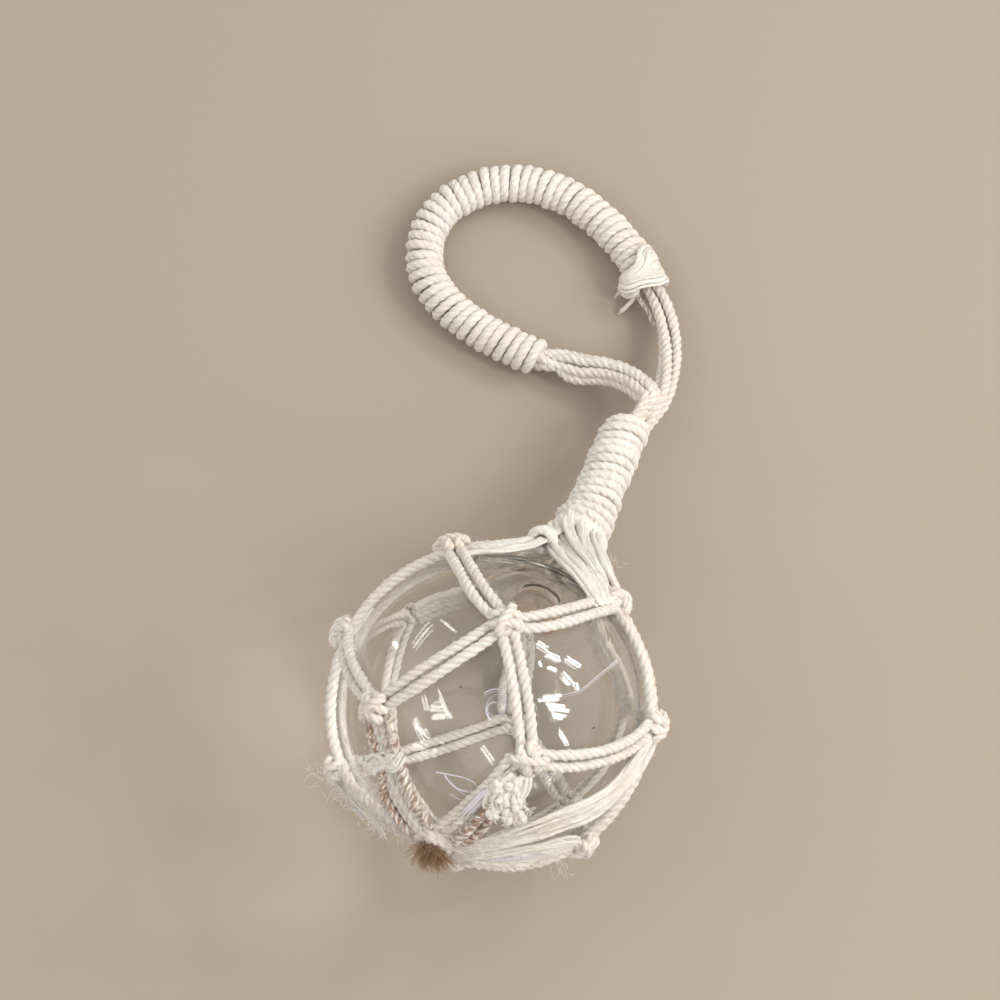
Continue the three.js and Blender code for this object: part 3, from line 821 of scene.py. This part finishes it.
# Cords from the upper knots to the neck
WOUND_COLUMN_SEEN = 543
SLACKER_SEEN = ((458, 548), (480, 546), (502, 545))
SLACKER_YARNS_SEEN = ((460, 556), (482, 553), (504, 552))
UP_THE_NECK_SEEN = (
    (-76, ((601, 608), (589, 590), (577, 575), (565, 563))), (-64, ((604, 606), (594, 587), (582, 569))),
    (-48, ((607, 604), (600, 587), (591, 571))), (-29, ((609, 603), (602, 586), (594, 571))),
    (4, ((613, 602), (606, 585), (599, 570))), (37, ((619, 600), (613, 584), (606, 570))))


def wound_round(m, path, column):
    """A cord end wound round some strands where they cross a column of the view."""
    t, a, b = carried_frame(path)
    columns = VIEW_MIDDLE + FOCAL * ((path - CAMERA) @ RIGHT_WAY) / ((path - CAMERA) @ FORWARD)
    i = int(np.argmin(np.abs(columns - column)))
    turn = np.linspace(0, TURN * 2.3, 60)
    ring = path[i] + along(t[i], np.linspace(-2.8, 2.8, 60))
    ring += (along(a[i], np.cos(turn)) + along(b[i], np.sin(turn))) * 3.3
    m.cord(ring, diameter=3.2, relief=0.4, fuzz=1)


def into_neck(degrees, foot, inside, before):
    """Two points that lead a strand into the neck, at two distances from its middle line."""
    spoke = neck_spoke(degrees)
    return [NECK_BASE + spoke * foot - NECK_AXIS * before, NECK_BASE + spoke * inside + NECK_AXIS * 6]


def beside_glass(m, _path):
    """Slacker cords from upper_knot_1, close to the glass until they turn up the neck."""
    for k in range(3):
        on_glass = [on_ball(x, y + 2.6 * k, ORBIT) for x, y in SLACKER_SEEN]
        off_glass = into_neck(-80 + 26 * k, 8.8, 5.6, 3.2)
        bundle = smooth_path(on_glass + off_glass, 0.8)
        if k < 2:
            m.cord(bundle, relief=0.5, fuzz=0.6)
    yarns = on_net(SLACKER_YARNS_SEEN, 0) + off_glass
    m.hank(smooth_path(yarns, 0.8), 2.8, 1.4, 5, thick=1.5, waver=0.8)
    wound_round(m, bundle, WOUND_COLUMN_SEEN)


def up_the_neck(m, _path):
    """Loosened strands from upper_knot_2, spread over the neck's foot."""
    for degrees, strand in UP_THE_NECK_SEEN:
        path = on_net(strand, 0.9) + into_neck(degrees, 9.3, 6.0, 3.0)
        m.hank(smooth_path(path, 0.8), 4.6, 1.8, 6, thick=2.0, waver=0.6)


def neck_outward(point, share):
    """Away from the ball at a knot, and from the neck's middle line at the end."""
    off = point - NECK_BASE
    off = off - NECK_AXIS * np.dot(off, NECK_AXIS)
    return unit(point - CENTRE) * (1 - share) + unit(off) * share


NECK_EXTRAS = (beside_glass, up_the_neck, None, None, None)
for i, place in enumerate(UPPER):
    spoke = neck_spoke(NECK_CORDS_FIRST + 360 / RING * i)
    end = NECK_BASE + spoke * NECK_CORDS_ORBIT
    stations = SLACK if i == SLACK_BAND else [(NECK_CORDS_LEAVE, place[1])]
    path = list(CENTRE + arc(direction(place), direction(stations[0]), 2.0, 0, 4) * ORBIT)
    path += [CENTRE + direction(s) * (ORBIT + SLACK_LIFT) for s in stations[1:]]
    path += [end - NECK_AXIS * 5.3 + spoke * 0.4, end, end + NECK_AXIS * 5 - spoke * 1.5]
    in_front = i < 2
    band(f"neck_cords_{i + 1}", path, neck_outward, (2.95, 2.5 if in_front else 1.45),
         (0.1, 0.5 if in_front else 1.25), extra=NECK_EXTRAS[i], relief=0.35 if i == 1 else 0.55)


# Bottom gather and its frayed tuft
def bottom_gather():
    m = Build()
    across = np.cross(BOTTOM, UP)
    middle = CENTRE + BOTTOM * (GLASS_R + CLEAR + 3.0)
    turn = np.linspace(0, TURN * 2.1, 120)
    share = turn / turn.max()
    radius = 5.3 - 1.0 * share
    coil = (middle + along(UP, radius * np.cos(turn)) + along(across, radius * np.sin(turn))
            + along(BOTTOM, -1.2 + 3.2 * share))
    m.cord(coil, fuzz=0.8)
    q = np.linspace(-1, 1, 24)
    for k in range(4):
        a = k * math.pi / 4 + 0.3
        way = UP * math.cos(a) + across * math.sin(a)
        m.cord(middle + along(way, 6.0 * q) + along(BOTTOM, 2.4 - 3.2 * q**2), diameter=3.2, fuzz=0.8)
    cotton_piece(m, "bottom_knot_rope", "bottom_knot")


def frayed_tuft():
    m = Build()
    across = np.cross(BOTTOM, UP)
    root = CENTRE + BOTTOM * (GLASS_R + CLEAR + 4.6)
    for _ in range(520):
        turn, far = rng.uniform(0, TURN), 3.6 * math.sqrt(rng.uniform())
        spoke = UP * math.cos(turn) + across * math.sin(turn)
        lean = BOTTOM * rng.uniform(0.6, 1.2) + spoke * far * 0.12 - UP_WAY * rng.uniform(0.1, 0.9)
        lean = unit(lean + RIGHT_WAY * rng.uniform(-0.25, 0.6) + rng.normal(size=3) * 0.16)
        m.fibre(root + spoke * far, lean, rng.uniform(4, 9), rng.uniform(0.08, 0.2), bend=0.2, parts=5)
    finish_piece(m.make("frayed_tuft_fibres", frayed, press=False), "frayed_fibre", "frayed_tuft")


bottom_gather()
frayed_tuft()


# Neck: gathered cords under a binding wound round and round
def round_neck(turns, radius, height, lean):
    """A path round the neck. lean tips each turn towards one side."""
    angle = -turns * TURN + math.radians(-90)
    height = height + lean * radius * np.sin(angle)
    return (NECK_BASE + along(NECK_AXIS, height) + along(NECK_UP, radius * np.cos(angle))
            + along(SIDE, radius * np.sin(angle)))


NECK_R_FOOT, NECK_R_TOP = 9.3, 8.2
# Loose turns at the foot: first and last turn, distance out, height and thickness
FOOT_TURNS = ((-1.05, -0.15, 8.1, -3.2, 4.6), (-0.95, -0.2, 7.6, -6.0, 4.2), (-0.9, -0.1, 8.0, -0.9, 4.2))


def neck_binding():
    m = Build()
    before, after = 0.35, NECK_TURNS + 0.2
    turns = np.linspace(-before, after, 1500)
    u = np.clip(turns / NECK_TURNS, 0, 1)
    crest = NECK_R_FOOT + (NECK_R_TOP - NECK_R_FOOT) * u
    bulge = (1.9 * np.exp(-((turns - 1.12) / 0.25) ** 2) + 0.9 * np.exp(-((turns - 2.1) / 0.2) ** 2)
            - 0.5 * np.exp(-((turns - 5) / 1.6) ** 2))
    sag = 0.2 * np.sin(turns * 2.3) + 0.14 * np.sin(turns * 5.1 + 1)
    ends = np.clip(np.minimum(turns + before, after - turns) / 0.3, 0, 1)
    radius = (crest - CORD_R + sag + bulge) * (0.72 + 0.28 * ends)
    height = CORD_R - 0.4 + (NECK_LENGTH - CORD) * u
    height = height + 0.3 * np.sin(turns * TURN + 0.7) + 0.3 * np.sin(turns * 1.7)
    lean = 0.36 * np.clip((turns - 0.8) / 3.5, 0, 1)
    m.cord(round_neck(turns, radius, height, lean), diameter=3.95, fuzz=0.6, relief=0.46)
    for first, last, out, low, thick in FOOT_TURNS:
        turns = np.linspace(first, last, 90)
        q = (turns - first) / (last - first)
        path = round_neck(turns, out - 2.2 * (2 * q - 1) ** 6, low + 1.6 * (q - 0.5), -0.12)
        m.cord(path, diameter=thick, relief=0.12, lay=60, fuzz=0.6, step=0.8)
    cotton_piece(m, "neck_binding_rope", "neck_binding")


def gathered_cords():
    """Eight cords in a ring and four inside it, whose ends show at the neck's top."""
    m = Build()
    q = np.linspace(-0.03, 1.0, 40)
    for k in range(12):
        in_ring = k < 8
        radius = 4.9 - 0.9 * q if in_ring else 1.8 + 0 * q
        reach = NECK_LENGTH + (0.4 if in_ring else 1.2)
        m.cord(NECK_BASE + along(NECK_AXIS, q * reach) + along(neck_spoke(45 * k), radius), step=1.0, lay=16)
    # The darker cotton paints the shade inside the binding on these cords
    finish_piece(m.make("neck_gathered_cords", core_cotton_painted_shade), "cotton_cord")


neck_binding()
gathered_cords()


# Hanging loop: columns and rows of the view, and heights above the floor
RIGHT_STRETCH_SEEN = ((658, 404, 16.5), (665, 388, 15.5), (669, 368, 13.5), (670, 346, 11), (667, 324, 9),
    (661, 304, 7.6), (653, 287, 7))
LEFT_STRETCH_SEEN = ((560, 361, 7.4), (580, 366, 8.6), (602, 369, 10.8), (624, 376, 14), (640, 386, 18),
    (649, 398, 20.5))
# On the left the four cords lie side by side and sag apart
FLAT_ACROSS = (-3.3, -1.8, 1.6, 3.2)
FLAT_LIFT = (-1.1, 0.9, 0.9, -1.1)
FLAT_SAG = (0.0, 0.2, 1.1, 1.6)


def on_floor(place):
    """A place of the bound stretch, which rests on the floor."""
    return np.array([NECK_TOP[0] + place[0], NECK_TOP[1] + place[1], LOOP_REST])


def at_neck_top(sideways, up, forward):
    return NECK_TOP + SIDE * sideways + NECK_UP * up + NECK_AXIS * forward


route = [at_neck_top(4.4, -2.2, -2), at_neck_top(5.0, -1.2, 2)]
route += [at_height(*place) for place in RIGHT_STRETCH_SEEN]
route += [on_floor(place) for place in BOUND[::-1]]
route += [at_height(*place) for place in LEFT_STRETCH_SEEN]
route += [at_neck_top(3.0, 2.8, 1.5), at_neck_top(1.6, 2.4, -2.5)]
line = smooth_path(route, 0.5)
run = arc_length(line)
bound_from, bound_to = [run[int(np.argmin(np.linalg.norm(line - on_floor(place), axis=1)))]
    for place in (BOUND[-1], BOUND[0])]
line_side = unit(np.cross(tangents(line), [0, 0, 1.0]))
line_up = np.cross(line_side, tangents(line))


def loop_cord(k):
    """One of the four cords, which twist round each other and lie flat on the left."""
    m = Build()
    in_binding = np.clip(np.minimum(run - bound_from, bound_to - run) / 8 + 0.5, 0, 1)
    turn = k * math.pi / 2 + 0.6 + run * 0.035 + 0.35 * np.sin(run / 21 + k)
    spread = 1.95 + 0.35 * (1 - in_binding)
    flat = np.clip((run - bound_to + 2) / 12, 0, 1) * np.clip((run[-1] - run) / 16, 0.25, 1)
    across = spread * np.cos(turn) * (1 - flat) + FLAT_ACROSS[k] * flat
    lift = spread * np.sin(turn) * (1 - flat) + FLAT_LIFT[k] * flat
    across = across + FLAT_SAG[k] * np.exp(-((run - bound_to - 13) / 9) ** 2)
    path = m.cord(line + along(line_side, across) + along(line_up, lift), diameter=LOOP_CORD, fuzz=0.5)
    return m.make(f"loop_cord_{k + 1}", cotton), path


def loop_binding():
    m = Build()
    turns = (bound_to - bound_from - CORD) / LOOP_PITCH
    psi = np.linspace(0, turns, int(turns * 60))
    at = bound_from + CORD_R + psi * LOOP_PITCH + 0.22 * np.sin(psi * 1.9) + 0.15 * np.sin(psi * 0.7)
    middle, side, up = [np.stack([np.interp(at, run, way[:, j]) for j in range(3)], 1)
            for way in (line, line_side, line_up)]
    side, up = unit(side), unit(up)
    radius = LOOP_REST - CORD_R + 0.14 * np.sin(psi * 3.1) + 0.1 * np.sin(psi * 7.7)
    angle = psi * TURN
    lean = 0.3 * np.sin(angle)
    path = (middle + along(side, radius * np.cos(angle)) + along(up, radius * np.sin(angle))
            + along(np.cross(up, side), lean))
    m.cord(path, diameter=4.0, fuzz=0.5, relief=0.5)
    return cotton_piece(m, "loop_binding_rope", "loop_binding")


# Tie: the binding's last strands fan over its end and are tucked under
TIE_KNOT_SEEN = (630, 285, 8.6)
CUT_ENDS_SEEN = ((((634, 292, 8), (633, 299, 5.2), (627, 306, 3.4), (620, 312.5, 1.6)), 1.7, 0.0),
    (((636, 292, 7), (641, 301, 6.5), (648, 311, 6.5), (653, 322, 7)), 2.0, 0.9),
    (((628, 290, 6), (621, 291, 4), (616, 296, 2.2)), 1.1, 0.4))


def tie_strand_seen(k):
    """A strand of the fan, over the binding's edge, across it and under."""
    x, y = 644 + 3.6 * k, 251 + 7.2 * k
    return ((x + 5, y + 4, 5.0), (x + 4.5, y - 1, 10.0), (x, y, 13.4), (640, 268 + 3.6 * k, 13.9),
            (631 - k * 0.5, 275 + 3.0 * k, 12.6), (625, 280 + 2.0 * k, 9.5), (632, 289, 6.0))


def tie_knot():
    m = Build()
    for k in range(5):
        strand = smooth_path([at_height(*place) for place in tie_strand_seen(k)], 0.5)
        m.hank(strand, 4.2, 2.0, 6, thick=1.4, waver=0.5, up=np.array([0, 0, 1.0]))
    psi = np.linspace(0, TURN * 1.3, 60)
    coil = np.stack([2.6 * np.cos(psi), 1.6 * np.sin(psi) - 0.3 * psi, 2.2 * np.sin(psi + 0.6)], 1)
    m.cord(at_height(*TIE_KNOT_SEEN) + coil, diameter=3.3, fuzz=1.5, relief=0.3)
    return cotton_piece(m, "loop_tie_knot_rope", "loop_tie_knot")


def tie_ends():
    m = Build()
    for strand, thick, wear in CUT_ENDS_SEEN:
        p = smooth_path([at_height(*place) for place in strand], 0.4)
        m.cord(p, diameter=thick, taper=(0.9, 0.5), fuzz=1.2, worn=wear, relief=0.4)
        for _ in range(14):
            start = p[-1] + rng.normal(size=3) * 0.3
            m.fibre(start, unit(p[-1] - p[-4]), rng.uniform(0.8, 2.0), 0.06, bend=0.35)
    return cotton_piece(m, "loop_tie_ends")


loop_cords = [loop_cord(k) for k in range(4)]
on_the_cords = [loop_binding(), tie_knot(), tie_ends()]
for k, (obj, path) in enumerate(loop_cords):
    finish_piece(obj, "cotton_cord", *(["loop_cords_left", "loop_cords_right"] if k == 0 else []))


# Lint that clings to the glass, and fibres teased out of the net
LINT_SEEN = ((((617, 660), (600, 674), (578, 691), (560, 695), (540, 697)), 0.14),
    (((436, 772), (452, 775), (468, 779), (477, 786), (474, 798), (462, 793), (452, 782)), 0.16),
    (((445, 776), (456, 788), (470, 792), (482, 786)), 0.2),
    (((450, 794), (462, 800), (472, 795), (468, 784)), 0.1),
    (((484, 693), (496, 689), (506, 696), (504, 710), (494, 716), (486, 708), (490, 698),
    (500, 694)), 0.12),
    (((490, 720), (486, 710), (492, 702), (500, 704)), 0.2))
# Place, number of fibres and their shortest and longest length
TEASED_SEEN = (((322, 776), 26, (3, 7)), ((336, 792), 16, (3, 6)), ((560, 866), 20, (2, 6)),
    ((612, 560), 10, (2, 4)))


def glass_lint():
    m = Build()
    for strand, thick in LINT_SEEN:
        p = smooth_path([on_ball(x, y, GLASS_R + 0.25) for x, y in strand], 0.5)
        m.hair(p, thick, sides=5)
        m.hair(p + rng.normal(size=3) * 0.5, thick * 0.5, sides=4)
    finish_piece(m.make("glass_lint", lint, press=False), "cotton_cord")


def teased_fibres():
    m = Build()
    for place, count, length in TEASED_SEEN:
        root = on_ball(*place, 53.2)
        out = unit(root - CENTRE)
        for _ in range(count):
            way = unit(out + rng.normal(size=3) * 0.7)
            start = root + rng.normal(size=3) * 2.2 - out * 1.5
            m.fibre(start, way, rng.uniform(*length), 0.07, bend=0.4, parts=6)
    cotton_piece(m, "teased_fibres")


glass_lint()
teased_fibres()


# Studio: pale floor, soft light all round, and bright windows that show in the glass
def camera():
    data = bpy.data.cameras.new("camera")
    data.sensor_width = SENSOR
    data.lens = SENSOR * FOCAL / VIEW_SIZE
    data.clip_end = 20
    obj = add_object("camera", data)
    stand(obj, RIGHT_WAY, UP_WAY, -FORWARD, (CAMERA + SHIFT) * METRES)
    bpy.context.scene.camera = obj


def pale_floor(half=6):
    """A flat floor, in metres."""
    mesh = bpy.data.meshes.new("floor")
    corners = [(-half, -half, 0), (half, -half, 0), (half, half, 0), (-half, half, 0)]
    mesh.from_pydata(corners, [], [(0, 1, 2, 3)])
    values = {"Base Color": (0.365, 0.305, 0.244, 1), "Roughness": 0.95, "Specular IOR Level": 0.1}
    mesh.materials.append(new_material("pale_floor", values)[0])
    floor = add_object("floor", mesh)


def soft_world():
    world = bpy.data.worlds.new("studio")
    bpy.context.scene.world = world
    world.use_nodes = True
    background = world.node_tree.nodes["Background"]
    background.inputs["Color"].default_value = (1.0, 0.975, 0.945, 1)
    background.inputs["Strength"].default_value = 0.86


# Glints on the glass: column and row of both ends, width in pixels, brightness
GLINTS_SEEN = ((535, 642, 547, 650, 6, 34), (546, 654, 560, 660, 6, 34), (566, 659, 579, 667, 5, 34),
    (547, 667, 557, 671, 4, 34), (561, 674, 571, 685, 8, 34), (538, 699, 562, 697, 7, 24),
    (545, 706, 568, 709, 8, 24), (551, 715, 565, 718, 6, 24), (558, 731, 567, 745, 5, 24),
    (411, 650, 431, 624, 6, 10), (441, 620, 456, 633, 3, 10), (423, 691, 427, 710, 6, 10),
    (438, 691, 452, 722, 5, 10), (414, 718, 424, 741, 6, 10), (481, 745, 496, 766, 6, 10),
    (392, 644, 397, 644, 5, 20), (575, 681, 577, 690, 4, 34), (538, 660, 541, 668, 3, 34))
GLINT_STRENGTH = 0.76
NARROW_GLINT = 5
BALL_RADIUS_SEEN = 155
WINDOW_DISTANCE = 1.3


def window(name, start, end, width, radiance):
    """A strip light whose glint on the glass runs between two places of the view."""
    ways = []
    for x, y in (start, end):
        p = on_ball(x, y, GLASS_R)
        n = unit(p - CENTRE)
        d = unit(CAMERA - p)
        ways.append(2 * np.dot(n, d) * n - d)
    middle = unit(ways[0] + ways[1])
    long_way = unit(ways[1] - ways[0] - middle * np.dot(ways[1] - ways[0], middle))
    short_way = np.cross(middle, long_way)
    data = bpy.data.lights.new(name, 'AREA')
    data.shape = 'RECTANGLE'
    data.size = float(np.linalg.norm(ways[1] - ways[0])) * WINDOW_DISTANCE
    data.size_y = width / BALL_RADIUS_SEEN * 2 * WINDOW_DISTANCE
    data.energy = radiance * math.pi * data.size * data.size_y
    data.color = (1.0, 0.995, 0.985)
    place = (CENTRE + SHIFT) * METRES + middle * WINDOW_DISTANCE
    stand(add_object(name, data), long_way, short_way, middle, place)


def windows():
    for k, (x0, y0, x1, y1, width, radiance) in enumerate(GLINTS_SEEN):
        way = np.array([x1 - x0, y1 - y0], float)
        across = np.array([-way[1], way[0]]) / np.hypot(*way)
        strips = 1 if width < NARROW_GLINT else 2
        for j in range(strips):
            off = across * width * ((j + 0.5) / strips - 0.5)
            start = np.array([x0, y0]) + way * rng.uniform(-0.10, 0.22) + off
            end = np.array([x1, y1]) + way * rng.uniform(-0.22, 0.10) + off
            thin = width / strips * rng.uniform(0.6, 0.85)
            window(f"window_{k + 1}_{j + 1}", start, end, thin, radiance * GLINT_STRENGTH)


camera()
pale_floor()
soft_world()
windows()
view = bpy.context.scene.view_settings
view.view_transform = 'Standard'
view.look = 'None'
view.exposure = 0.0
view.gamma = 1.0
